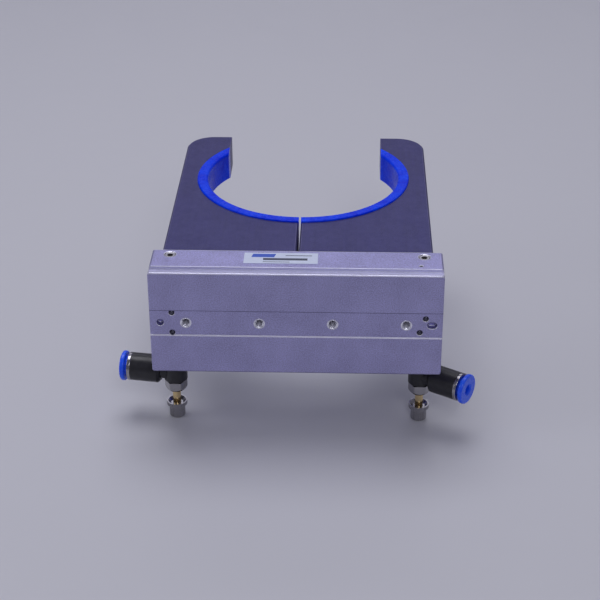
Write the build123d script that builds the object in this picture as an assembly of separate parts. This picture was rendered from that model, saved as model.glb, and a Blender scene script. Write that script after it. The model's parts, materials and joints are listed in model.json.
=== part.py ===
from build123d import *
import os
from math import atan, cos, pi, radians, sin, sqrt, tan

# A low-profile parallel gripper: two racked pistons, one pinion, two fingers on a linear guide,
# and a pair of C-shaped jaws lined with soft strips. Millimetres.
# +X runs along the housing, +Y from the mounting face towards the jaws, +Z up to the label face.
# The origin is the middle of the mounting face. The jaws are drawn closed.

# Housing
HOUSING_LENGTH = 124.5
HOUSING_DEPTH = 21.6
HOUSING_HEIGHT = 48.0
HOUSING_CORNER_R = 1.0
EDGE_BREAK = 0.35
BAND_HEIGHT = 12.0
BAND_DEPTH = 0.5
MOUNT_HOLE_X = (-46.9, -15.6, 15.6, 46.9)
MOUNT_HOLE_R = 1.65
MOUNT_HOLE_DEPTH = 6.0
MOUNT_CHAMFER_R = 2.4
MOUNT_CHAMFER_DEPTH = 0.43
PIN_HOLE_X = 57.8
PIN_HOLE_R = 1.5
PIN_SLOT_LENGTH = 4.2
PIN_HOLE_DEPTH = 3.0

# Shallow groove in the label face, beside the mounting face
GROOVE_Y0 = 1.3
GROOVE_Y1 = 6.2
GROOVE_DEPTH = 1.4

# Drilled air passages, plugged with balls: x and z on the mounting face
PASSAGES = ((-52.8, 4.8), (-52.8, -4.8), (55.0, 3.2), (52.6, -3.5))
PASSAGE_BALL_R = 1.2
PASSAGE_BALL_Y = 1.5
PASSAGE_R = 0.9
PASSAGE_Y1 = 8.0
VENT_BALL_R = 0.8
VENT_X = 52.7
VENT_Y = 9.1

# Label
LABEL_X = (-22.5, 9.0)
LABEL_Y = (9.8, 19.6)
LABEL_THICKNESS = 0.12

# Cylinder bores and pistons
STROKE = 24.0
BORE_R = 6.0
BORE_Y = 8.6
BORE_Z = 13.0
PISTON_R = 5.95
PISTON_HALF = 42.0
PISTON_ROD_R = 5.7
HEAD_LENGTH = 7.0
CAP_R = 6.75
CAP_BORE_R = 6.8
CAP_SEAT = 6.2
CAP_THICKNESS = 4.1
CLIP_R = 7.2
CLIP_WIDTH = 1.0
CLIP_SETBACK = 1.05
CLIP_BORE_R = 5.6
CAP_GROOVE_R = 5.3
CAP_GROOVE_HALF = 0.8
PULLER_R = 1.25
BUMPER_R = 4.4
BUMPER_LENGTH = 1.6
SEAL_GROOVE = (1.6, 4.2)
SEAL_GROOVE_R = 4.4
MAGNET_OFFSET = (29.0, 33.0)
MAGNET_GROOVE_R = 4.2
SEAL_CLEARANCE = 0.1
RACK_HALF = 20.0

# Rack and pinion
GEAR_MODULE = 1.0
GEAR_TEETH = 20
PRESSURE_ANGLE = 20.0
BACKLASH = 0.22
PITCH_R = GEAR_MODULE * GEAR_TEETH / 2
PINION_Y0 = 5.2
PINION_Y1 = 12.0
PINION_PIN_R = 2.0
PINION_BUSH_R = 3.0
CAVITY_R = 11.5
CAVITY_Y0 = 4.6

# Linear guide
CHANNEL_FLOOR_Y = 15.6
CHANNEL_HALF = 10.4
RAIL_HALF = 4.5
RAIL_TOP_Y = 21.0
RAIL_LENGTH = 124.0
RAIL_SCREW_X = (-50.0, -22.0, 22.0, 50.0)
RAIL_SCREW_R = 1.5
RAIL_HEAD_R = 2.75
RAIL_HEAD_SEAT = 3.2
BALL_R = 1.0
BALL_GROOVE_R = 1.03
BALL_ROW_Y = 18.4
BALL_ROW_Z = 4.68
BALL_COUNT = 9
BALL_PITCH = 2.3
BALL_FIRST_X = 15.6
BALL_STOP_Z = 5.6
BALL_STOP_R = 0.8

# Fingers
FINGER_X0 = 1.0
FINGER_X1 = 37.0
FINGER_HALF = 10.0
FINGER_FACE_Y = 24.6
FINGER_FLOOR_Y = 16.3
FINGER_GAP = 0.3
ARM_Z1 = 15.4
ARM_Y0 = 17.0
ARM_Y1 = 21.3
ARM_REACH = 14.8
ARM_ROOT = 11.0
JOINT_PIN_R = 2.0
JAW_FIX_X = (9.0, 29.0)
JAW_FIX_Z = 7.4

# Jaws and liners
JAW_TOP_Z = 22.0
JAW_THICKNESS = 15.3
JAW_OUTER_X = 58.5
JAW_TIP_Y = 152.5
JAW_CORNER_R = 13.0
JAW_CHAMFER = 0.7
SLIT_HALF = 0.5
FLANGE_DEPTH = 11.4
FLANGE_BOTTOM_Z = -11.8
JAW_SEAT_Y = FINGER_FACE_Y + FLANGE_DEPTH - 4.4
JAW_SCREW_LENGTH = 11.0
DOWEL_R = 1.5
DOWEL_Y1 = 29.5
FLANGE_X1 = 38.0
OPENING_Y = 104.0
LINER_OUTER_R = 50.2
LINER_THICKNESS = 5.2
LINER_PROUD = 0.8
LINER_SLOPE = 2.8
LINER_INNER_FILLET = 1.3
LINER_OUTER_FILLET = 0.6
MOUTH_HALF = 37.3

# Ports and elbow fittings
PORT_X = 54.3
PORT_Y = 17.4
PORT_R = 2.45
PORT_DEPTH = 10.0
PORT_CHAMFER = 0.2
PLUG_TOP = 0.3
PLUG_LENGTH = 5.0
PLUG_KEY = 2.5
THREAD_R = 2.4
GASKET_R = 4.2
GASKET_THICKNESS = 0.8
BARREL_DROP = 9.8
BARREL_R = 6.25
BARREL_START = 6.4
BARREL_END = 19.6
RING_END = 21.2
RING_R = 6.35
COLLAR_END = 24.4
COLLAR_FLANGE = 2.1
COLLAR_R = 6.7
COLLAR_NECK_START = 17.8
CHUCK_X = 14.0
TUBE_R = 2.1
TUBE_STOP = 5.6
SEAL_SEAT = 9.0
SOCKET_START = 11.0
LEFT_ELBOW_ANGLE = 171.5
RIGHT_ELBOW_ANGLE = -32.5
STEM_CORE_R = 3.0
STEM_FLANGE = 1.3
STEM_HEX = 8.8
STEM_HEX_TOP = 14.4
STEM_HEX_BOTTOM = 19.0
STEM_BORE_R = 1.1
CROSS_DRILL_R = 1.0
CROSS_RELIEF = 0.6
NEEDLE_R = 1.8
NEEDLE_BORE_R = 1.85
NEEDLE_TRAVEL = 5.0
NEEDLE_SEAT_Z = -31.0
BOSS_R = 5.2
NECK_R = 4.2
SOCKET_R = 4.6
LOCK_RING_R = 4.55
LOCK_RING_TOP = 25.3
LOCK_RING_HEIGHT = 1.9
LOCK_RING_DISH = 1.2
KNOB_R = 3.5
KNOB_GAP = 0.2
KNOB_BOTTOM = 33.1

HALF_LENGTH = HOUSING_LENGTH / 2
HALF_HEIGHT = HOUSING_HEIGHT / 2
FACE_Z = -HALF_HEIGHT
BARREL_Z = FACE_Z - BARREL_DROP
SIDES = {"left": -1, "right": 1}


def block(x, y, z):
    """A box between two limits on each axis."""
    size = Box(x[1] - x[0], y[1] - y[0], z[1] - z[0])
    return Pos((x[0] + x[1]) / 2, (y[0] + y[1]) / 2, (z[0] + z[1]) / 2) * size


def rod_x(radius, x0, x1, y, z):
    """A cylinder along X."""
    return Pos((x0 + x1) / 2, y, z) * Rot(0, 90, 0) * Cylinder(radius, abs(x1 - x0))


def rod_y(radius, y0, y1, x, z):
    """A cylinder along Y."""
    return Pos(x, (y0 + y1) / 2, z) * Rot(90, 0, 0) * Cylinder(radius, abs(y1 - y0))


def rod_z(radius, z0, z1, x=0.0, y=0.0):
    """A cylinder along Z."""
    return Pos(x, y, (z0 + z1) / 2) * Cylinder(radius, abs(z1 - z0))


def cone_y(r_front, r_back, y0, y1, x, z):
    """A cone along Y, from r_front at y0 to r_back at y1."""
    return Pos(x, (y0 + y1) / 2, z) * Rot(-90, 0, 0) * Cone(r_front, r_back, y1 - y0)


def knurled(radius, height, flutes, depth):
    """A straight-knurled disc standing on the XY plane."""
    points = []
    for k in range(2 * flutes):
        reach = radius - depth * (k % 2)
        points.append((reach * cos(pi * k / flutes), reach * sin(pi * k / flutes)))
    disc = extrude(make_face(Polyline(*points, close=True)), height)
    return disc


# ---------------------------------------------------------------- housing

def front_holes():
    """Threaded mounting holes, a round and a slotted pin hole, all on the centre line."""
    cuts = []
    for x in MOUNT_HOLE_X:
        cuts.append(rod_y(MOUNT_HOLE_R, BAND_DEPTH, BAND_DEPTH + MOUNT_HOLE_DEPTH, x, 0))
        cuts.append(cone_y(MOUNT_CHAMFER_R, MOUNT_HOLE_R, BAND_DEPTH,
                           BAND_DEPTH + MOUNT_CHAMFER_DEPTH, x, 0))
    y1 = BAND_DEPTH + PIN_HOLE_DEPTH
    cuts.append(rod_y(PIN_HOLE_R, BAND_DEPTH, y1, -PIN_HOLE_X, 0))
    half = PIN_SLOT_LENGTH / 2 - PIN_HOLE_R
    for x in (PIN_HOLE_X - half, PIN_HOLE_X + half):
        cuts.append(rod_y(PIN_HOLE_R, BAND_DEPTH, y1, x, 0))
    cuts.append(block((PIN_HOLE_X - half, PIN_HOLE_X + half), (BAND_DEPTH, y1),
                      (-PIN_HOLE_R, PIN_HOLE_R)))
    return cuts


def passage_cuts():
    """Each passage: a seat for its steel ball, a drilling, and a cross drilling to the bore."""
    cuts = []
    for x, z in PASSAGES:
        seat_y = PASSAGE_BALL_Y + sqrt(PASSAGE_BALL_R ** 2 - PASSAGE_R ** 2) + 0.05
        cuts.append(rod_y(PASSAGE_BALL_R + 0.02, BAND_DEPTH, seat_y, x, z))
        cuts.append(rod_y(PASSAGE_R, seat_y, PASSAGE_Y1, x, z))
        toward = BORE_Z - BORE_R + 1.0
        cuts.append(rod_z(PASSAGE_R, z, toward if z > 0 else -toward, x, PASSAGE_Y1 - PASSAGE_R))
    return cuts


def bore_cuts():
    """Two cylinder bores along X, with a seat and a clip groove for a cap at each end."""
    cuts = []
    for z in (-BORE_Z, BORE_Z):
        cuts.append(rod_x(BORE_R, -HALF_LENGTH, HALF_LENGTH, BORE_Y, z))
        for side in (-1, 1):
            inner = side * (HALF_LENGTH - CAP_SEAT)
            cuts.append(rod_x(CAP_BORE_R, inner, side * HALF_LENGTH, BORE_Y, z))
            groove = side * (HALF_LENGTH - CLIP_SETBACK)
            cuts.append(rod_x(CLIP_R + 0.05, groove - side * CLIP_WIDTH, groove, BORE_Y, z))
    return cuts


def port_cuts():
    """M5 air ports through the top and bottom faces, each joined to its bore."""
    cuts = []
    for x in (-PORT_X, PORT_X):
        for face in (-1, 1):
            outer = face * HALF_HEIGHT
            inner = face * (HALF_HEIGHT - PORT_DEPTH)
            cuts.append(rod_z(PORT_R, inner, outer, x, PORT_Y))
            low_r = PORT_R if face > 0 else PORT_R + PORT_CHAMFER
            high_r = PORT_R + PORT_CHAMFER if face > 0 else PORT_R
            middle = outer - face * PORT_CHAMFER / 2
            cuts.append(Pos(x, PORT_Y, middle) * Cone(low_r, high_r, PORT_CHAMFER))
            cuts.append(rod_y(1.0, BORE_Y + 4.0, PORT_Y, x, inner + face * 1.5))
    return cuts


def guide_cuts():
    """The channel for the guide, the pinion's cavity, and a slot for each finger's arm."""
    cuts = [block((-HALF_LENGTH, HALF_LENGTH), (CHANNEL_FLOOR_Y, HOUSING_DEPTH),
                  (-CHANNEL_HALF, CHANNEL_HALF))]
    cuts.append(rod_y(CAVITY_R, CAVITY_Y0, CHANNEL_FLOOR_Y, 0, 0))
    cuts.append(rod_y(PINION_PIN_R, 2.2, CAVITY_Y0, 0, 0))
    for x in RAIL_SCREW_X:
        cuts.append(rod_y(1.55, 9.2, CHANNEL_FLOOR_Y, x, 0))
    pocket_out = STROKE + ARM_ROOT + 1.2
    for side in (-1, 1):
        x = sorted((side * pocket_out, -side * (ARM_REACH + 2.0)))
        z = sorted((-side * (CHANNEL_HALF - 0.4), -side * (ARM_Z1 + 0.6)))
        cuts.append(block(x, (ARM_Y0 - 0.4, HOUSING_DEPTH), z))
        half = STROKE / 2 + JOINT_PIN_R + 1.0
        z = sorted((-side * (BORE_Z - JOINT_PIN_R - 0.4), -side * (BORE_Z + JOINT_PIN_R + 0.4)))
        cuts.append(block((-half, half), (BORE_Y, ARM_Y0 - 0.4), z))
    return cuts


def housing():
    """The machined aluminium housing."""
    body = block((-HALF_LENGTH, HALF_LENGTH), (0, HOUSING_DEPTH), (-HALF_HEIGHT, HALF_HEIGHT))
    body = fillet(body.edges().filter_by(Axis.Y), HOUSING_CORNER_R)
    body = chamfer(body.faces().sort_by(Axis.Y)[0].edges(), EDGE_BREAK)
    band = block((-HALF_LENGTH, HALF_LENGTH), (-1.0, BAND_DEPTH), (-BAND_HEIGHT / 2, BAND_HEIGHT / 2))
    groove = block((-HALF_LENGTH, HALF_LENGTH), (GROOVE_Y0, GROOVE_Y1),
                   (HALF_HEIGHT - GROOVE_DEPTH, HALF_HEIGHT + 1.0))
    vent = rod_z(VENT_BALL_R + 0.02, BORE_Z + BORE_R - 1.0, HALF_HEIGHT, VENT_X, VENT_Y)
    cuts = [band, groove, vent]
    cuts += front_holes()
    cuts += passage_cuts()
    cuts += bore_cuts()
    cuts += port_cuts()
    cuts += guide_cuts()
    for cut in cuts:
        body = body - cut
    return body


def passage_balls():
    """Steel balls pressed into the ends of the drilled air passages."""
    balls = []
    for x, z in PASSAGES:
        balls.append(Pos(x, PASSAGE_BALL_Y, z) * Sphere(PASSAGE_BALL_R))
    balls.append(Pos(VENT_X, VENT_Y, HALF_HEIGHT - VENT_BALL_R) * Sphere(VENT_BALL_R))
    return balls


def for_each_bore_end(make):
    """One solid at each end of both bores: make is given the end's sign and the bore's z."""
    solids = []
    for z in (-BORE_Z, BORE_Z):
        for side in (-1, 1):
            solids.append(make(side, z))
    return solids


def end_cap(side, z):
    """A cap with an O-ring groove."""
    inner = side * (HALF_LENGTH - CAP_SEAT)
    outer = inner + side * CAP_THICKNESS
    cap = rod_x(CAP_R, inner, outer, BORE_Y, z)
    middle = (inner + outer) / 2
    span = (middle - CAP_GROOVE_HALF, middle + CAP_GROOVE_HALF)
    groove = rod_x(CAP_R + 1.0, *span, BORE_Y, z) - rod_x(CAP_GROOVE_R, *span, BORE_Y, z)
    puller = rod_x(PULLER_R, outer - side * 2.0, outer, BORE_Y, z)
    return cap - groove - puller


def cap_seal(side, z):
    """The cap's O-ring."""
    middle = side * (HALF_LENGTH - CAP_SEAT + CAP_THICKNESS / 2)
    return Pos(middle, BORE_Y, z) * Rot(0, 90, 0) * Torus(6.05, 0.7)


def cap_clip(side, z):
    """The C-shaped clip that holds the cap."""
    outer = side * (HALF_LENGTH - CLIP_SETBACK - 0.05)
    inner = outer - side * (CLIP_WIDTH - 0.1)
    ring = rod_x(CLIP_R, inner, outer, BORE_Y, z) - rod_x(CLIP_BORE_R, inner, outer, BORE_Y, z)
    gap = block(sorted((inner, outer)), (BORE_Y - 2.2, BORE_Y + 2.2), (z, z + 9.0))
    return ring - gap


def bumper(side, z):
    """A rubber bumper on the inner face of a cap."""
    seat = side * (HALF_LENGTH - CAP_SEAT)
    return rod_x(BUMPER_R, seat - side * BUMPER_LENGTH, seat, BORE_Y, z)


def port_plugs():
    """Socket plugs in the unused ports of the label face."""
    plugs = []
    for x in (-PORT_X, PORT_X):
        top = HALF_HEIGHT - PLUG_TOP
        plug = rod_z(THREAD_R, top - PLUG_LENGTH, top, x, PORT_Y)
        plug = chamfer(plug.edges().group_by(Axis.Z)[-1], 0.3)
        socket = extrude(RegularPolygon(PLUG_KEY / 2, 6, major_radius=False), 2.0)
        plugs.append(plug - Pos(x, PORT_Y, top - 2.0) * socket)
    return plugs


def label_plate():
    """A thin foil label."""
    return block(LABEL_X, LABEL_Y, (HALF_HEIGHT, HALF_HEIGHT + LABEL_THICKNESS))


# ---------------------------------------------------------------- linear guide

def guide_rail():
    """The steel rail, with a ball groove down each side."""
    half = RAIL_LENGTH / 2
    rail = block((-half, half), (CHANNEL_FLOOR_Y, RAIL_TOP_Y), (-RAIL_HALF, RAIL_HALF))
    for z in (-BALL_ROW_Z, BALL_ROW_Z):
        rail = rail - rod_x(BALL_GROOVE_R, -half, half, BALL_ROW_Y, z)
    for x in RAIL_SCREW_X:
        rail = rail - rod_y(RAIL_SCREW_R + 0.2, CHANNEL_FLOOR_Y, RAIL_TOP_Y, x, 0)
        rail = rail - rod_y(RAIL_HEAD_R + 0.15, RAIL_TOP_Y - RAIL_HEAD_SEAT, RAIL_TOP_Y, x, 0)
    rail = rail - rod_y(PINION_PIN_R, CHANNEL_FLOOR_Y, CHANNEL_FLOOR_Y + 2.0, 0, 0)
    return rail


def socket_screw(x, z, head_y, thread_r, thread_length, head_r, head_height, key):
    """A socket-head screw whose thread points to -Y and whose head sits on y = head_y."""
    screw = rod_y(thread_r, head_y - thread_length, head_y, x, z)
    screw = screw + rod_y(head_r, head_y, head_y + head_height, x, z)
    recess = extrude(RegularPolygon(key / 2, 6, major_radius=False), head_height * 0.55)
    return screw - Pos(x, head_y + head_height, z) * Rot(90, 0, 0) * recess


def rail_screws():
    """Screws that fix the rail to the housing."""
    seat = RAIL_TOP_Y - RAIL_HEAD_SEAT
    return [socket_screw(x, 0, seat, RAIL_SCREW_R, 8.2, RAIL_HEAD_R, 3.0, 2.5) for x in RAIL_SCREW_X]


def guide_balls(side):
    """Two rows of balls between a finger and the rail."""
    balls = []
    for z in (-BALL_ROW_Z, BALL_ROW_Z):
        for k in range(BALL_COUNT):
            x = side * (BALL_FIRST_X + k * BALL_PITCH)
            balls.append(Pos(x, BALL_ROW_Y, z) * Sphere(BALL_R))
    return balls


def ball_stops(side):
    """Pins across the ends of a finger's ball grooves."""
    pins = []
    for x in (FINGER_X0 + 1.0, FINGER_X1 - 1.0):
        for z in (-BALL_STOP_Z, BALL_STOP_Z):
            pins.append(rod_y(BALL_STOP_R, FINGER_FLOOR_Y, HOUSING_DEPTH, side * x, z))
    return pins


# ---------------------------------------------------------------- fingers

def finger(side):
    """A guide block astride the rail, with an arm that reaches its piston's joint pin."""
    x = sorted((side * FINGER_X0, side * FINGER_X1))
    plate_y = HOUSING_DEPTH + FINGER_GAP
    body = block(x, (plate_y, FINGER_FACE_Y), (-FINGER_HALF, FINGER_HALF))
    body = chamfer(body.faces().sort_by(Axis.Y)[-1].edges(), EDGE_BREAK)
    leg_z = 2 * BALL_ROW_Z - RAIL_HALF
    for z in ((-FINGER_HALF, -leg_z), (leg_z, FINGER_HALF)):
        body = body + block(x, (FINGER_FLOOR_Y, plate_y), z)
    arm_side = -side
    root_x = sorted((side * FINGER_X0, side * ARM_ROOT))
    root_z = sorted((arm_side * (FINGER_HALF - 0.5), arm_side * ARM_Z1))
    body = body + block(root_x, (ARM_Y0, ARM_Y1), root_z)
    reach_x = sorted((side * FINGER_X0, -side * ARM_REACH))
    reach_z = sorted((arm_side * CHANNEL_HALF, arm_side * ARM_Z1))
    body = body + block(reach_x, (ARM_Y0, ARM_Y1), reach_z)
    for z in (-BALL_ROW_Z, BALL_ROW_Z):
        body = body - rod_x(BALL_GROOVE_R, x[0], x[1], BALL_ROW_Y, z)
    for pin in ball_stops(side):
        body = body - pin
    body = body - rod_y(JOINT_PIN_R, ARM_Y0, ARM_Y1, -side * STROKE / 2, arm_side * BORE_Z)
    for fix in JAW_FIX_X:
        body = body - rod_y(2.05, FINGER_FACE_Y - 5.0, FINGER_FACE_Y, side * fix, -JAW_FIX_Z)
        body = body - rod_y(1.5, FINGER_FACE_Y - 4.5, FINGER_FACE_Y, side * fix, JAW_FIX_Z)
    return body


def joint_pin(side):
    """The pin that drives a finger's arm from its piston."""
    return rod_y(JOINT_PIN_R, BORE_Y + 1.6, ARM_Y1, -side * STROKE / 2, -side * BORE_Z)


def rack_gap(x, pitch_z, toward):
    """A tooth space of the rack, open towards the pinion."""
    slope = tan(radians(PRESSURE_ANGLE))
    half_pitch = pi * GEAR_MODULE / 4 + BACKLASH / 4
    tip = half_pitch + slope * (GEAR_MODULE + 0.3)
    root = half_pitch - slope * 1.25 * GEAR_MODULE
    z_tip = pitch_z - toward * (GEAR_MODULE + 0.3)
    z_root = pitch_z + toward * 1.25 * GEAR_MODULE
    corners = ((x - tip, z_tip), (x + tip, z_tip), (x + root, z_root), (x - root, z_root))
    outline = make_face(Polyline(*corners, close=True))
    return Pos(0, BORE_Y + 7.0, 0) * Rot(90, 0, 0) * extrude(outline, 14.0)


def annulus_x(outer_r, inner_r, x0, x1, y, z):
    """A ring of rectangular section round an axis along X."""
    return rod_x(outer_r, x0, x1, y, z) - rod_x(inner_r, x0, x1, y, z)


def piston(side):
    """A double-ended piston with a rack on the side that faces the pinion."""
    toward = -side
    centre = -side * STROKE / 2
    z = toward * BORE_Z
    body = rod_x(PISTON_ROD_R, centre - PISTON_HALF, centre + PISTON_HALF, BORE_Y, z)
    for end in (-1, 1):
        outer = centre + end * PISTON_HALF
        body = body + rod_x(PISTON_R, outer - end * HEAD_LENGTH, outer, BORE_Y, z)
        span = (outer - end * SEAL_GROOVE[1], outer - end * SEAL_GROOVE[0])
        body = body - annulus_x(BORE_R + 1.0, SEAL_GROOVE_R, *span, BORE_Y, z)
    span = (centre + MAGNET_OFFSET[0], centre + MAGNET_OFFSET[1])
    body = body - annulus_x(BORE_R + 1.0, MAGNET_GROOVE_R, *span, BORE_Y, z)
    flat = sorted((toward * (PITCH_R - GEAR_MODULE), toward * (BORE_Z - BORE_R - 1.0)))
    body = body - block((centre - RACK_HALF, centre + RACK_HALF), (BORE_Y - 7.0, BORE_Y + 7.0), flat)
    pitch = pi * GEAR_MODULE
    gaps = [k * pitch for k in range(-12, 13) if abs(k * pitch - centre) < RACK_HALF - 1.5]
    for x in gaps:
        body = body - rack_gap(x, toward * PITCH_R, toward)
    return body - rod_y(JOINT_PIN_R, BORE_Y + 1.6, BORE_Y + 7.0, centre, z)


def piston_seals(side):
    """Lip seals in the grooves of both piston heads."""
    z = -side * BORE_Z
    centre = -side * STROKE / 2
    rings = []
    for end in (-1, 1):
        outer = centre + end * PISTON_HALF
        x0 = outer - end * (SEAL_GROOVE[1] - SEAL_CLEARANCE)
        x1 = outer - end * (SEAL_GROOVE[0] + SEAL_CLEARANCE)
        rings.append(annulus_x(BORE_R - 0.03, SEAL_GROOVE_R + 0.05, x0, x1, BORE_Y, z))
    return rings


def piston_magnet(side):
    """The magnet ring that a position sensor reads."""
    z = -side * BORE_Z
    centre = -side * STROKE / 2
    x0 = centre + MAGNET_OFFSET[0] + SEAL_CLEARANCE
    x1 = centre + MAGNET_OFFSET[1] - SEAL_CLEARANCE
    return annulus_x(PISTON_ROD_R, MAGNET_GROOVE_R + 0.05, x0, x1, BORE_Y, z)


# ---------------------------------------------------------------- pinion

def involute_half_angle(radius):
    """Half the angle that a pinion tooth spans at a radius."""
    base_r = PITCH_R * cos(radians(PRESSURE_ANGLE))
    at_pitch = pi / (2 * GEAR_TEETH) - BACKLASH / 4 / PITCH_R
    roll_pitch = tan(radians(PRESSURE_ANGLE)) - radians(PRESSURE_ANGLE)
    roll = sqrt(max(radius ** 2 - base_r ** 2, 0)) / base_r
    return at_pitch + roll_pitch - (roll - atan(roll))


def pinion():
    """The pinion, with involute teeth, on its bush."""
    base_r = PITCH_R * cos(radians(PRESSURE_ANGLE))
    root_r = PITCH_R - 1.25 * GEAR_MODULE
    tip_r = PITCH_R + GEAR_MODULE
    flank = [base_r + (tip_r - base_r) * k / 5 for k in range(6)]
    points = []
    for tooth in range(GEAR_TEETH):
        middle = pi / 2 + 2 * pi * tooth / GEAR_TEETH
        rising = [(root_r, -involute_half_angle(base_r))]
        rising += [(r, -involute_half_angle(r)) for r in flank]
        falling = [(r, -a) for r, a in reversed(rising)]
        for r, a in rising + falling:
            points.append((r * cos(middle + a), r * sin(middle + a)))
    profile = make_face(Polyline(*points, close=True))
    gear = Pos(0, PINION_Y1, 0) * Rot(90, 0, 0) * extrude(profile, PINION_Y1 - PINION_Y0)
    return gear - rod_y(PINION_BUSH_R, PINION_Y0, PINION_Y1, 0, 0)


def pinion_bush():
    """The bronze bush in the pinion."""
    bush = rod_y(PINION_BUSH_R, PINION_Y0, PINION_Y1, 0, 0)
    return bush - rod_y(PINION_PIN_R + 0.04, PINION_Y0, PINION_Y1, 0, 0)


def pinion_pin():
    """The fixed pin that the pinion turns on."""
    return rod_y(PINION_PIN_R, 2.2, CHANNEL_FLOOR_Y + 2.0, 0, 0)


# ---------------------------------------------------------------- jaws

def jaw(side):
    """A jaw plate with a round opening, on a flange that bolts to the finger."""
    width = JAW_OUTER_X - SLIT_HALF
    length = JAW_TIP_Y - FINGER_FACE_Y
    sketch = Pos(-SLIT_HALF - width / 2, FINGER_FACE_Y + length / 2) * Rectangle(width, length)
    far_corner = sketch.vertices().group_by(Axis.Y)[-1].sort_by(Axis.X)[0]
    sketch = fillet(far_corner, JAW_CORNER_R)
    plate = Pos(0, 0, JAW_TOP_Z - JAW_THICKNESS) * extrude(sketch, JAW_THICKNESS)
    plate = chamfer(plate.faces().sort_by(Axis.Z)[-1].edges(), JAW_CHAMFER)
    plate = chamfer(plate.faces().sort_by(Axis.Z)[0].edges(), JAW_CHAMFER)
    flange = block((-FLANGE_X1, -SLIT_HALF), (FINGER_FACE_Y, FINGER_FACE_Y + FLANGE_DEPTH),
                   (FLANGE_BOTTOM_Z, JAW_TOP_Z - JAW_THICKNESS + 2.0))
    plate = plate + flange
    below = JAW_TOP_Z - JAW_THICKNESS - 1.0
    plate = plate - rod_z(LINER_OUTER_R, below, JAW_TOP_Z + 1.0, 0, OPENING_Y)
    plate = plate - block((-MOUTH_HALF, 1.0), (OPENING_Y, JAW_TIP_Y + 1.0), (below, JAW_TOP_Z + 1.0))
    for fix in JAW_FIX_X:
        plate = plate - rod_y(2.2, FINGER_FACE_Y, JAW_SEAT_Y, -fix, -JAW_FIX_Z)
        plate = plate - rod_y(3.7, JAW_SEAT_Y, FINGER_FACE_Y + FLANGE_DEPTH, -fix, -JAW_FIX_Z)
        plate = plate - rod_y(DOWEL_R, FINGER_FACE_Y, DOWEL_Y1, -fix, JAW_FIX_Z)
    return plate if side < 0 else mirror(plate, about=Plane.YZ)


def jaw_liner(side):
    """The soft strip round a jaw's opening: rounded on top, proud of the plate, sloped below."""
    bottom = JAW_TOP_Z - JAW_THICKNESS
    top = JAW_TOP_Z + LINER_PROUD
    inner_r = LINER_OUTER_R - LINER_THICKNESS
    outline = Polyline((inner_r, bottom + LINER_SLOPE), (LINER_OUTER_R - 1.0, bottom),
                       (LINER_OUTER_R, bottom), (LINER_OUTER_R, top), (inner_r, top), close=True)
    section = make_face(outline)
    upper = section.vertices().group_by(Axis.Y)[-1].sort_by(Axis.X)
    section = fillet(upper[0], LINER_INNER_FILLET)
    upper = section.vertices().group_by(Axis.Y)[-1].sort_by(Axis.X)
    section = fillet(upper[-1], LINER_OUTER_FILLET)
    ring = Pos(0, OPENING_Y, 0) * revolve(Plane.XZ * section, Axis.Z)
    low = bottom - 1.0
    high = top + 1.0
    reach = LINER_OUTER_R + 1.0
    near = block((-reach, -SLIT_HALF), (OPENING_Y - reach, OPENING_Y), (low, high))
    far = block((-reach, -MOUTH_HALF), (OPENING_Y - 0.001, OPENING_Y + reach), (low, high))
    strip = ring & (near + far)
    return strip if side < 0 else mirror(strip, about=Plane.YZ)


def jaw_screws(side):
    """Screws through a jaw's flange into the finger."""
    return [socket_screw(side * x, -JAW_FIX_Z, JAW_SEAT_Y, 2.0, JAW_SCREW_LENGTH, 3.5, 4.0, 3.0)
            for x in JAW_FIX_X]


def jaw_dowels(side):
    """Dowels that locate a jaw on its finger."""
    return [rod_y(DOWEL_R, FINGER_FACE_Y - 4.5, DOWEL_Y1, side * x, JAW_FIX_Z) for x in JAW_FIX_X]


# ---------------------------------------------------------------- elbow fittings

def port_gaskets():
    """Sealing washers under both fittings."""
    rings = []
    for x in (-PORT_X, PORT_X):
        ring = rod_z(GASKET_R, FACE_Z - GASKET_THICKNESS, FACE_Z, x, PORT_Y)
        rings.append(ring - rod_z(PORT_R + 0.15, FACE_Z - GASKET_THICKNESS, FACE_Z, x, PORT_Y))
    return rings


def fitting_stem():
    """The metal stem: thread, flange, core and hexagon, bored for the needle."""
    flange_top = FACE_Z - GASKET_THICKNESS
    flange_bottom = flange_top - STEM_FLANGE
    core_bottom = FACE_Z - STEM_HEX_TOP
    hex_bottom = FACE_Z - STEM_HEX_BOTTOM
    height = core_bottom - hex_bottom
    stem = rod_z(THREAD_R, flange_top, FACE_Z + 5.5)
    stem = stem + rod_z(GASKET_R, flange_bottom, flange_top)
    stem = stem + rod_z(STEM_CORE_R, core_bottom, flange_bottom)
    hexagon = extrude(RegularPolygon(STEM_HEX / 2, 6, major_radius=False), height)
    flat_r = STEM_HEX / 2
    rounded = Pos(0, 0, 0.7) * Cone(flat_r - 0.5, flat_r + 0.6, 1.4) + rod_z(flat_r + 0.6, 1.4, height)
    stem = stem + Pos(0, 0, hex_bottom) * (hexagon & rounded)
    stem = stem - rod_z(NEEDLE_BORE_R, hex_bottom, NEEDLE_SEAT_Z)
    stem = stem - rod_z(STEM_BORE_R, NEEDLE_SEAT_Z, FACE_Z + 5.5)
    reach = STEM_CORE_R + 1.0
    return stem - rod_x(CROSS_DRILL_R, -reach, reach, 0, NEEDLE_SEAT_Z + 0.8)


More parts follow.
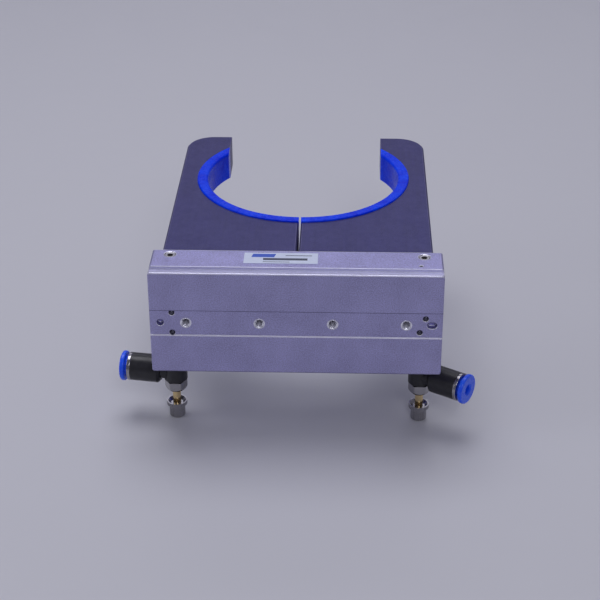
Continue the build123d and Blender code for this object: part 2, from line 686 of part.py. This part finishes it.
def elbow_body():
    """The moulded elbow: an upright boss that turns on the stem, and a barrel along +X."""
    top = FACE_Z - GASKET_THICKNESS - STEM_FLANGE - 0.3
    bottom = FACE_Z - STEM_HEX_TOP + 0.3
    shell = rod_z(BOSS_R, bottom, top)
    shell = chamfer(shell.edges().filter_by(GeomType.CIRCLE), 0.5)
    barrel = rod_x(BARREL_R, BARREL_START, BARREL_END, 0, BARREL_Z)
    barrel = chamfer(barrel.faces().sort_by(Axis.X)[0].edges(), 1.2)
    shell = shell + barrel + rod_x(NECK_R, 0, BARREL_START + 1.1, 0, BARREL_Z)
    shell = shell - rod_z(STEM_CORE_R + 0.05, bottom, top)
    relief_top = NEEDLE_SEAT_Z + 0.8 + CROSS_DRILL_R
    shell = shell - rod_z(STEM_CORE_R + CROSS_RELIEF, BARREL_Z - 1.0, relief_top)
    shell = shell - rod_x(1.2, 2.0, TUBE_STOP, 0, BARREL_Z)
    shell = shell - rod_x(TUBE_R, TUBE_STOP, SEAL_SEAT, 0, BARREL_Z)
    shell = shell - rod_x(3.6, SEAL_SEAT, SOCKET_START, 0, BARREL_Z)
    return shell - rod_x(SOCKET_R, SOCKET_START, BARREL_END, 0, BARREL_Z)


def elbow_ring():
    """The plated ring on the end of the barrel."""
    ring = rod_x(RING_R, BARREL_END, RING_END, 0, BARREL_Z)
    ring = fillet(ring.edges().filter_by(GeomType.CIRCLE), 0.35)
    return ring - rod_x(SOCKET_R + 0.25, BARREL_END, RING_END, 0, BARREL_Z)


def tube_seal():
    """The rubber ring that seals on the tube."""
    x0 = SEAL_SEAT + 0.1
    x1 = SOCKET_START - 0.1
    return annulus_x(3.55, TUBE_R + 0.05, x0, x1, 0, BARREL_Z)


def tube_chuck():
    """The springy metal ring that grips the tube, slotted into claws."""
    length = 2.4
    chuck = Cone(SOCKET_R, SOCKET_R - 1.3, length) - Cone(SOCKET_R - 0.5, SOCKET_R - 1.8, length)
    for k in range(3):
        slot = Pos(0, 0, 0.6) * Rot(0, 0, 60 * k) * Box(2 * SOCKET_R + 2, 0.5, length)
        chuck = chuck - slot
    return Pos(CHUCK_X, 0, BARREL_Z) * Rot(0, -90, 0) * chuck


def release_collar():
    """The collar that is pushed in to release the tube."""
    flange_x = COLLAR_END - COLLAR_FLANGE
    flange = rod_x(COLLAR_R, flange_x, COLLAR_END, 0, BARREL_Z)
    flange = fillet(flange.edges().filter_by(GeomType.CIRCLE), 0.7)
    collar = flange + rod_x(SOCKET_R - 0.05, COLLAR_NECK_START, flange_x + 0.5, 0, BARREL_Z)
    collar = collar - rod_x(TUBE_R, COLLAR_NECK_START, COLLAR_END, 0, BARREL_Z)
    lead_in = Pos(COLLAR_END - 0.35, 0, BARREL_Z) * Rot(0, 90, 0) * Cone(TUBE_R, TUBE_R + 0.7, 0.7)
    return collar - lead_in


def needle():
    """The brass needle that throttles the flow."""
    top = NEEDLE_SEAT_Z - NEEDLE_TRAVEL - 0.3
    shaft = rod_z(NEEDLE_R, FACE_Z - KNOB_BOTTOM + 1.6, top - 1.2)
    tip = Pos(0, 0, top - 0.6) * Cone(NEEDLE_R, 0.8, 1.2)
    groove = rod_z(NEEDLE_R + 1, top - 3.2, top - 2.2) - rod_z(1.2, top - 3.2, top - 2.2)
    return shaft + tip - groove


def needle_seal():
    """The needle's O-ring."""
    top = NEEDLE_SEAT_Z - NEEDLE_TRAVEL - 0.3
    return Pos(0, 0, top - 2.7) * Torus(1.51, 0.29)


def lock_ring():
    """The knurled ring that locks the needle, dished on its upper face."""
    top = FACE_Z - LOCK_RING_TOP
    ring = Pos(0, 0, top - LOCK_RING_HEIGHT) * knurled(LOCK_RING_R, LOCK_RING_HEIGHT, 36, 0.2)
    dish = Pos(0, 0, top - LOCK_RING_DISH / 2) * Cone(2.7, LOCK_RING_R - 0.6, LOCK_RING_DISH)
    return ring - dish - rod_z(NEEDLE_BORE_R, top - LOCK_RING_HEIGHT, top)


def knob():
    """The knurled grip at the end of the needle."""
    top = FACE_Z - LOCK_RING_TOP - LOCK_RING_HEIGHT - KNOB_GAP
    bottom = FACE_Z - KNOB_BOTTOM
    height = top - bottom
    grip = Pos(0, 0, bottom) * knurled(KNOB_R, height, 28, 0.2)
    taper = Cone(KNOB_R - 0.5, KNOB_R + 0.1, 0.6, align=(Align.CENTER, Align.CENTER, Align.MIN))
    taper = Pos(0, 0, bottom) * (taper + rod_z(KNOB_R + 0.1, 0.6, height))
    return (grip & taper) - rod_z(NEEDLE_BORE_R, bottom + 1.2, top)


def at_port(shape, side, angle):
    """A fitting piece moved to its port and turned about the port's axis."""
    return Pos(side * PORT_X, PORT_Y, 0) * Rot(0, 0, angle) * shape


# ---------------------------------------------------------------- the assembly

def assembly():
    """Every named piece and its solids."""
    nodes = {
        "housing": housing(),
        "passage_balls": passage_balls(),
        "end_caps": for_each_bore_end(end_cap),
        "cap_seals": for_each_bore_end(cap_seal),
        "cap_clips": for_each_bore_end(cap_clip),
        "end_bumpers": for_each_bore_end(bumper),
        "port_plugs": port_plugs(),
        "port_gaskets": port_gaskets(),
        "label_plate": label_plate(),
        "guide_rail": guide_rail(),
        "rail_screws": rail_screws(),
        "pinion_pin": pinion_pin(),
        "pinion_gear": pinion(),
        "pinion_bush": pinion_bush(),
    }
    angles = {"left": LEFT_ELBOW_ANGLE, "right": RIGHT_ELBOW_ANGLE}
    for name, side in SIDES.items():
        nodes[name + "_finger"] = finger(side)
        nodes[name + "_joint_pin"] = joint_pin(side)
        nodes[name + "_ball_stops"] = ball_stops(side)
        nodes[name + "_guide_balls"] = guide_balls(side)
        nodes[name + "_piston"] = piston(side)
        nodes[name + "_piston_seals"] = piston_seals(side)
        nodes[name + "_piston_magnet"] = piston_magnet(side)
        nodes[name + "_jaw"] = jaw(side)
        nodes[name + "_jaw_liner"] = jaw_liner(side)
        nodes[name + "_jaw_screws"] = jaw_screws(side)
        nodes[name + "_jaw_dowels"] = jaw_dowels(side)
        fitting = {
            "_fitting_stem": fitting_stem,
            "_elbow_body": elbow_body,
            "_elbow_ring": elbow_ring,
            "_tube_seal": tube_seal,
            "_tube_chuck": tube_chuck,
            "_release_collar": release_collar,
            "_needle": needle,
            "_needle_seal": needle_seal,
            "_lock_ring": lock_ring,
            "_knob": knob,
        }
        turning = ("_elbow_body", "_elbow_ring", "_tube_seal", "_tube_chuck", "_release_collar")
        for suffix, make in fitting.items():
            angle = angles[name] if suffix in turning else 0.0
            nodes[name + suffix] = at_port(make(), side, angle)
    return nodes


def export_all():
    """Writes one STEP file per node."""
    os.makedirs("parts", exist_ok=True)
    for name, shape in assembly().items():
        if isinstance(shape, list):
            shape = Compound(children=[Part(solid.wrapped) for solid in shape])
        export_step(shape, "parts/" + name + ".step")


export_all()
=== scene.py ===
import json
import math
import bpy
from mathutils import Matrix, Vector


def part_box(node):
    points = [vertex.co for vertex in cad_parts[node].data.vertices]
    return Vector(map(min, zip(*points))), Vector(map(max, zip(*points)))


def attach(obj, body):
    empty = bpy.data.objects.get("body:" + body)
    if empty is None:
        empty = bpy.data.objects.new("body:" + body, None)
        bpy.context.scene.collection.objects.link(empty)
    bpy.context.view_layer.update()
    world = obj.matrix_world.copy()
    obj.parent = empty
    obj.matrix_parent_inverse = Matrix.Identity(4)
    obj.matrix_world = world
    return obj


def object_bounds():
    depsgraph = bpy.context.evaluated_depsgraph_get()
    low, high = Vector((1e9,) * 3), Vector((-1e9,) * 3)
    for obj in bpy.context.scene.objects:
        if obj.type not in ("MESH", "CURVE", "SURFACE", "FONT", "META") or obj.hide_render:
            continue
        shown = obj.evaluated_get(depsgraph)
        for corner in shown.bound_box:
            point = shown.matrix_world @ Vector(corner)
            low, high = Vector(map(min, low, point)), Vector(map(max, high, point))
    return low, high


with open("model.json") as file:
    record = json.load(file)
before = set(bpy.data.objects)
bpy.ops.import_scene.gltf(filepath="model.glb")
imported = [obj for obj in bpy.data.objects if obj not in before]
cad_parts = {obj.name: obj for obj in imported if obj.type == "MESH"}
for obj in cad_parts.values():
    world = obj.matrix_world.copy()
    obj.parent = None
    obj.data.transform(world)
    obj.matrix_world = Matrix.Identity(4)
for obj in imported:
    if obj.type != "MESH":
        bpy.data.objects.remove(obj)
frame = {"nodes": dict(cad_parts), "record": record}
cad_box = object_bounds()
nodes = frame["nodes"]
MM = 0.001

# places on the housing, in millimetres
MOUNT_HOLE_X = (15.6, 46.9)
MOUNT_HOLE_MOUTH_R = 2.43
MOUNT_HOLE_END_Y = 7.0
PORT_X, PORT_Y, PORT_MOUTH_R = 54.3, 17.4, 2.68
PORT_FACE_Z = 12.0
GROOVE_Y = (1.2, 6.4)
GROOVE_MIN_Z = 20.0


# ---------------------------------------------------------------- material tools

class Shader:
    """A material with a Principled shader, and short ways to add nodes to it."""

    def __init__(self, name, color, rough, metal=0.0, edge=0.0, **sockets):
        self.mat = bpy.data.materials.new(name)
        self.mat.use_nodes = True
        self.tree = self.mat.node_tree
        self.bsdf = self.tree.nodes["Principled BSDF"]
        self.bsdf.inputs["Base Color"].default_value = (*color, 1)
        self.bsdf.inputs["Roughness"].default_value = rough
        self.bsdf.inputs["Metallic"].default_value = metal
        for key, value in sockets.items():
            self.bsdf.inputs[key.replace("_", " ")].default_value = value
        self.coords = self.add("ShaderNodeTexCoord").outputs["Object"]
        if edge:
            self.soft = self.add("ShaderNodeBevel", samples=16)
            self.soft.inputs["Radius"].default_value = edge
            self.link(self.soft.outputs["Normal"], self.bsdf.inputs["Normal"])

    def add(self, kind, **values):
        node = self.tree.nodes.new(kind)
        for key, value in values.items():
            setattr(node, key, value)
        return node

    def link(self, a, b):
        self.tree.links.new(a, b)

    def noise(self, scale, detail=3.0, rough=0.55, stretch=(1, 1, 1), distortion=0.0):
        """A noise value from 0 to 1, with scale in features per metre."""
        mapping = self.add("ShaderNodeMapping")
        mapping.inputs["Scale"].default_value = stretch
        self.link(self.coords, mapping.inputs["Vector"])
        node = self.add("ShaderNodeTexNoise")
        node.inputs["Scale"].default_value = scale
        node.inputs["Detail"].default_value = detail
        node.inputs["Roughness"].default_value = rough
        node.inputs["Distortion"].default_value = distortion
        self.link(mapping.outputs["Vector"], node.inputs["Vector"])
        return node.outputs["Fac"]

    def ramp(self, value, low, high, out_low, out_high):
        """Maps value from low..high to out_low..out_high, clamped."""
        node = self.add("ShaderNodeMapRange")
        limits = {"From Min": low, "From Max": high, "To Min": out_low, "To Max": out_high}
        for key, number in limits.items():
            node.inputs[key].default_value = number
        self.link(value, node.inputs["Value"])
        return node.outputs["Result"]

    def math(self, kind, a, b=0.0):
        node = self.add("ShaderNodeMath", operation=kind)
        for socket, value in zip(node.inputs, (a, b)):
            if isinstance(value, (int, float)):
                socket.default_value = value
            else:
                self.link(value, socket)
        return node.outputs[0]

    def mix(self, factor, a, b):
        """A colour between a and b."""
        node = self.add("ShaderNodeMix", data_type="RGBA")
        for socket, value in zip((node.inputs[0], node.inputs[6], node.inputs[7]), (factor, a, b)):
            if isinstance(value, tuple):
                socket.default_value = (*value, 1)
            elif isinstance(value, (int, float)):
                socket.default_value = value
            else:
                self.link(value, socket)
        return node.outputs[2]

    def color(self, socket):
        self.link(socket, self.bsdf.inputs["Base Color"])

    def rough(self, socket):
        self.link(socket, self.bsdf.inputs["Roughness"])

    def bump(self, height, distance, strength=1.0):
        """Adds a bump, in metres, on top of any bump already there."""
        node = self.add("ShaderNodeBump")
        node.inputs["Distance"].default_value = distance
        node.inputs["Strength"].default_value = strength
        self.link(height, node.inputs["Height"])
        normal = self.bsdf.inputs["Normal"]
        if normal.links:
            self.link(normal.links[0].from_socket, node.inputs["Normal"])
        self.link(node.outputs["Normal"], normal)

    def edge_mask(self, start, end):
        """Two masks, 1 along softened edges and 0 on flats: for edges facing up, and facing down."""
        flat = self.add("ShaderNodeNewGeometry").outputs["True Normal"]
        turn = self.add("ShaderNodeVectorMath", operation="DISTANCE")
        self.link(self.soft.outputs["Normal"], turn.inputs[0])
        self.link(flat, turn.inputs[1])
        split = self.add("ShaderNodeSeparateXYZ")
        self.link(self.soft.outputs["Normal"], split.inputs[0])
        edge = self.ramp(turn.outputs["Value"], start, end, 0.0, 1.0)
        up = self.math("GREATER_THAN", split.outputs[2], 0.08)
        down = self.math("LESS_THAN", split.outputs[2], -0.08)
        return self.math("MULTIPLY", edge, up), self.math("MULTIPLY", edge, down)

    def xyz(self):
        node = self.add("ShaderNodeSeparateXYZ")
        self.link(self.coords, node.inputs[0])
        return node.outputs


def blasted_tone(s, color, grain):
    """Pits a bead-blasted, anodised face and returns its mottled colour."""
    clouds = s.ramp(s.noise(60, 4), 0.3, 0.7, 0.0, 1.0)
    speckle = s.ramp(s.noise(2100, 3, 0.7), 0.38, 0.64, 0.0, 1.0)
    dark = tuple(c * 0.66 for c in color)
    light = tuple(min(1.0, c * 1.2) for c in color)
    tone = s.math("ADD", s.math("MULTIPLY", clouds, 0.3), s.math("MULTIPLY", speckle, 0.7))
    s.bump(s.noise(3200, 3, 0.6), 0.00008 * grain, 1.0)
    s.bump(s.noise(1100, 2), 0.00006 * grain, 0.8)
    return s.mix(tone, dark, light)


def within(s, u, v, radius):
    """1 where the two coordinates lie within radius of zero, else 0."""
    square = s.math("ADD", s.math("MULTIPLY", u, u), s.math("MULTIPLY", v, v))
    return s.math("LESS_THAN", square, radius * radius)


def housing_aluminium(name, color, rough):
    """Blasted, anodised aluminium, left bright where the threaded holes and ports were machined
    afterwards; up-facing edges carry a painted highlight, down-facing edges painted shade, and the groove
    floor is painted lighter.
    """
    s = Shader(name, color, rough, 0.85, edge=0.0006)
    tone = blasted_tone(s, color, 1.0)
    x, y, z = s.xyz()
    across = s.math("ABSOLUTE", x)
    inner, outer = (s.math("ABSOLUTE", s.math("SUBTRACT", across, x * MM)) for x in MOUNT_HOLE_X)
    hole = within(s, s.math("MINIMUM", inner, outer), z, MOUNT_HOLE_MOUTH_R * MM)
    hole = s.math("MULTIPLY", hole, s.math("LESS_THAN", y, MOUNT_HOLE_END_Y * MM))
    port_x = s.math("SUBTRACT", across, PORT_X * MM)
    port_y = s.math("SUBTRACT", y, PORT_Y * MM)
    port = within(s, port_x, port_y, PORT_MOUTH_R * MM)
    port = s.math("MULTIPLY", port, s.math("GREATER_THAN", s.math("ABSOLUTE", z), PORT_FACE_Z * MM))
    behind_lip = s.math("GREATER_THAN", y, GROOVE_Y[0] * MM)
    groove = s.math("MULTIPLY", s.math("LESS_THAN", y, GROOVE_Y[1] * MM), behind_lip)
    groove = s.math("MULTIPLY", groove, s.math("GREATER_THAN", z, GROOVE_MIN_Z * MM))
    # Masks for a painted highlight along up-facing softened edges and painted shade along down-facing
    # ones; the highlight is weakened in the groove.
    lit, shaded = s.edge_mask(0.04, 0.3)
    lit = s.math("MULTIPLY", lit, s.math("SUBTRACT", 1.0, s.math("MULTIPLY", groove, 0.7)))
    bare = s.math("MAXIMUM", hole, port)
    bare_and_highlight = s.math("MAXIMUM", bare, lit)
    # Painted light: the groove floor is painted lighter.
    tone = s.mix(s.math("MULTIPLY", groove, 0.5), tone, (0.9, 0.9, 1.0))
    # Painted shade: down-facing edges are painted darker.
    tone = s.mix(s.math("MULTIPLY", shaded, 0.7), tone, tuple(c * 0.3 for c in color))
    # Near-white for bare metal in the holes and ports, and as a painted highlight along up-facing edges.
    s.color(s.mix(bare_and_highlight, tone, (0.92, 0.92, 1.0)))
    face = s.ramp(s.noise(900, 3), 0.3, 0.7, rough - 0.06, rough + 0.07)
    s.rough(s.math("SUBTRACT", face, s.math("MULTIPLY", bare, 0.16)))
    return s.mat


def jaw_finish(name, color, rough):
    """Fine satin, dark anodised aluminium with faint milling marks."""
    s = Shader(name, color, rough, 0.6, edge=0.0007)
    tone = blasted_tone(s, color, 0.5)
    lines = s.ramp(s.noise(700, 3, 0.6, (1, 0.04, 1)), 0.35, 0.65, 0.0, 1.0)
    tone = s.mix(s.math("MULTIPLY", lines, 0.22), tone, tuple(c * 1.35 for c in color))
    # Painted highlight: up-facing softened edges of the jaws are painted lighter.
    s.color(s.mix(s.math("MULTIPLY", s.edge_mask(0.04, 0.4)[0], 0.6), tone, (0.3, 0.28, 0.5)))
    s.rough(s.ramp(s.noise(300, 4), 0.3, 0.7, rough - 0.05, rough + 0.07))
    return s.mat


def metal(name, color, rough, scratch=(1, 1, 1), scratch_scale=900, depth=0.00001):
    """Bare or plated metal with uneven polish and fine directional marks."""
    s = Shader(name, color, rough, 1.0)
    marks = s.noise(scratch_scale, 3, 0.6, scratch)
    dark = tuple(c * 0.88 for c in color)
    s.color(s.mix(s.ramp(s.noise(220, 3), 0.3, 0.7, 0.0, 1.0), dark, color))
    s.rough(s.ramp(marks, 0.3, 0.7, rough - 0.07, rough + 0.08))
    s.bump(marks, depth, 0.7)
    return s.mat


def moulded_plastic(name, color, rough, **sockets):
    """Injection-moulded plastic: a fine spark texture and slight unevenness."""
    s = Shader(name, color, rough, 0.0, **sockets)
    lift = tuple(min(1.0, c * 1.25 + 0.004) for c in color)
    s.color(s.mix(s.ramp(s.noise(500, 3), 0.35, 0.65, 0.0, 1.0), color, lift))
    s.rough(s.ramp(s.noise(300, 2), 0.3, 0.7, rough - 0.05, rough + 0.06))
    s.bump(s.noise(5200, 2), 0.00001, 0.6)
    return s.mat


def cast_urethane(name):
    """Blue urethane strip: satin gloss with faint swirls and a wavy skin from casting."""
    s = Shader(name, (0.002, 0.05, 0.8), 0.3, 0.0, Specular_IOR_Level=0.2, IOR=1.3)
    swirl = s.ramp(s.noise(120, 4, 0.6, distortion=0.8), 0.3, 0.7, 0.0, 1.0)
    s.color(s.mix(swirl, (0.001, 0.02, 0.72), (0.002, 0.07, 1.0)))
    s.rough(s.ramp(s.noise(400, 3), 0.3, 0.7, 0.2, 0.36))
    s.bump(s.noise(170, 3), 0.0002, 0.6)
    s.bump(s.noise(900, 2), 0.00003, 0.4)
    return s.mat


def soft_rubber(name, color):
    s = Shader(name, color, 0.62)
    s.rough(s.ramp(s.noise(700, 2), 0.3, 0.7, 0.52, 0.72))
    s.color(s.mix(s.noise(150, 3), color, tuple(c * 1.8 + 0.004 for c in color)))
    s.bump(s.noise(3000, 3), 0.00002, 0.7)
    return s.mat


def label_foil(name):
    """A pale foil label: a blue corner block and plain rules where printing would be."""
    s = Shader(name, (0.66, 0.72, 0.86), 0.34, 0.25)
    low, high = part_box("label_plate")
    width, depth = high.x - low.x, high.y - low.y
    x, y, _ = s.xyz()
    u = s.math("DIVIDE", s.math("SUBTRACT", x, low.x), width)
    v = s.math("DIVIDE", s.math("SUBTRACT", y, low.y), depth)
    foil = s.mix(s.noise(900, 3), (0.60, 0.66, 0.80), (0.72, 0.78, 0.92))

    def inside(u0, u1, v0, v1, slant=0.0):
        shifted = s.math("SUBTRACT", u, s.math("MULTIPLY", v, slant))
        parts = [s.math("GREATER_THAN", shifted, u0), s.math("LESS_THAN", shifted, u1),
                 s.math("GREATER_THAN", v, v0), s.math("LESS_THAN", v, v1)]
        value = parts[0]
        for part in parts[1:]:
            value = s.math("MULTIPLY", value, part)
        return value

    color = s.mix(inside(0.05, 0.36, 0.58, 0.90, 0.08), foil, (0.03, 0.10, 0.55))
    rules = ((0.26, 0.86, 0.30, 0.50), (0.56, 0.92, 0.72, 0.78), (0.26, 0.62, 0.12, 0.17))
    for rule in rules:
        color = s.mix(inside(*rule), color, (0.05, 0.06, 0.10))
    s.color(color)
    s.bump(s.noise(1800, 2), 0.00001, 0.5)
    return s.mat


STEEL = (0.46, 0.46, 0.48)
MATERIALS = {
    "anodised_aluminium": housing_aluminium("anodised_aluminium", (0.44, 0.425, 0.70), 0.42),
    "jaw_aluminium": jaw_finish("jaw_aluminium", (0.062, 0.058, 0.185), 0.42),
    "liner_rubber": cast_urethane("liner_rubber"),
    "label_foil": label_foil("label_foil"),
    "tool_steel": metal("tool_steel", STEEL, 0.3, (0.05, 1, 1), 2400),
    # Painted reflection: the steel's base colour is darkened to stand in for the dark surroundings the
    # balls reflect.
    "ball_steel": metal("ball_steel", (0.10, 0.10, 0.13), 0.16),
    "black_screw": metal("black_screw", (0.035, 0.035, 0.04), 0.38),
    "seal_rubber": soft_rubber("seal_rubber", (0.012, 0.012, 0.013)),
    "bronze": metal("bronze", (0.50, 0.31, 0.13), 0.34, (1, 0.1, 1), 1800),
    "magnet": metal("magnet", (0.08, 0.08, 0.085), 0.5),
    "black_plastic": moulded_plastic("black_plastic", (0.012, 0.012, 0.015), 0.36),
    "blue_plastic": moulded_plastic("blue_plastic", (0.012, 0.1, 1.0), 0.26),
    "nickel": metal("nickel", (0.42, 0.41, 0.42), 0.2, (1, 1, 0.1), 1800, 0.00003),
    "brass": metal("brass", (0.86, 0.66, 0.34), 0.2, (1, 1, 0.08), 2600),
}

for part in frame["record"]["subparts"]:
    mesh = nodes[part["node"]].data
    mesh.materials.clear()
    mesh.materials.append(MATERIALS[part["material_slot"]])


# ---------------------------------------------------------------- detail pieces

def mesh_piece(name, verts, faces, material, body, smooth=True):
    """A mesh in the row frame that rides on a CAD body."""
    mesh = bpy.data.meshes.new(name)
    mesh.from_pydata(verts, [], faces)
    mesh.materials.append(material)
    for face in mesh.polygons:
        face.use_smooth = smooth
    obj = bpy.data.objects.new(name, mesh)
    bpy.context.scene.collection.objects.link(obj)
    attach(obj, body)
    return obj


def hole_threads():
    """The screw thread on the wall of each mounting hole: a helical ridge with a triangular section."""
    wall, crest, pitch, start, end = 1.655, 1.42, 0.7, 1.15, 6.2
    steps = 28
    count = int((end - start) / pitch * steps)
    verts, faces = [], []
    for hole_x in sorted(side * x for x in MOUNT_HOLE_X for side in (-1, 1)):
        base = len(verts)
        for i in range(count + 1):
            angle = 2 * math.pi * i / steps
            y = start + pitch * i / steps
            fade = min(1.0, i / 10, (count - i) / 10)
            inner = wall - (wall - crest) * fade
            for r, dy in ((wall, -0.3), (inner, -0.04), (inner, 0.04), (wall, 0.3)):
                x = hole_x + r * math.cos(angle)
                z = r * math.sin(angle)
                verts.append((x * MM, (y + dy * 0.95) * MM, z * MM))
        for i in range(count):
            for k in range(3):
                a = base + 4 * i + k
                faces.append((a, a + 1, a + 5, a + 4))
    bright = metal("cut_thread", (0.95, 0.95, 1.0), 0.38)
    mesh_piece("mount_hole_threads", verts, faces, bright, "housing")


hole_threads()


# ---------------------------------------------------------------- stage

def area_light(name, location, target, size, power, color=(1, 1, 1)):
    lamp = bpy.data.lights.new(name, "AREA")
    lamp.shape = "RECTANGLE"
    lamp.size, lamp.size_y = size
    lamp.energy = power
    lamp.color = color
    obj = bpy.data.objects.new(name, lamp)
    obj.location = location
    obj.rotation_euler = (Vector(target) - Vector(location)).to_track_quat("-Z", "Y").to_euler()
    bpy.context.scene.collection.objects.link(obj)
    return obj


def stage_floor():
    """A plain pale floor under the fittings, which are the lowest points."""
    half = 4.0
    z = cad_box[0].z
    mesh = bpy.data.meshes.new("floor")
    corners = [(-half, -half, z), (half, -half, z), (half, half, z), (-half, half, z)]
    mesh.from_pydata(corners, [], [(0, 1, 2, 3)])
    floor = bpy.data.objects.new("floor", mesh)
    bpy.context.scene.collection.objects.link(floor)
    s = Shader("floor_paint", (0.62, 0.62, 0.65), 0.55)
    s.rough(s.ramp(s.noise(40, 3), 0.3, 0.7, 0.5, 0.62))
    mesh.materials.append(s.mat)


def camera():
    """A long lens, above and in front of the mounting face, looking down along the jaws."""
    data = bpy.data.cameras.new("camera")
    data.lens = 93.67
    data.sensor_width = 36.0
    data.clip_end = 20.0
    obj = bpy.data.objects.new("camera", data)
    pitch, yaw, roll = math.radians(61.35), math.radians(1.946), math.radians(-0.22)
    turn = Matrix.Rotation(yaw, 4, "Z") @ Matrix.Rotation(pitch, 4, "X") @ Matrix.Rotation(roll, 4, "Z")
    obj.matrix_world = Matrix.Translation((0.02138, -0.57597, 0.32686)) @ turn
    bpy.context.scene.collection.objects.link(obj)
    bpy.context.scene.camera = obj


def studio():
    """Soft boxes overhead, above the camera, at the side and behind, in even, dim surroundings."""
    world = bpy.data.worlds.new("studio")
    bpy.context.scene.world = world
    world.use_nodes = True
    world.node_tree.nodes["Background"].inputs["Color"].default_value = (0.78, 0.78, 1.0, 1)
    world.node_tree.nodes["Background"].inputs["Strength"].default_value = 0.2
    centre = (0, 0.06, 0)
    area_light("overhead", (-0.1, 0.35, 1.2), centre, (0.9, 0.7), 7, (0.93, 0.93, 1.0))
    area_light("front", (0.22, -1.0, 0.85), centre, (0.35, 0.35), 2.6, (0.93, 0.93, 1.0))
    area_light("side", (-1.1, -0.2, 0.5), centre, (0.5, 0.5), 1.5, (0.93, 0.93, 1.0))
    area_light("back", (0, 1.5, 0.95), centre, (1.6, 0.5), 2.4, (0.86, 0.86, 1.0))


stage_floor()
camera()
studio()
bpy.context.scene.view_settings.view_transform = "Standard"
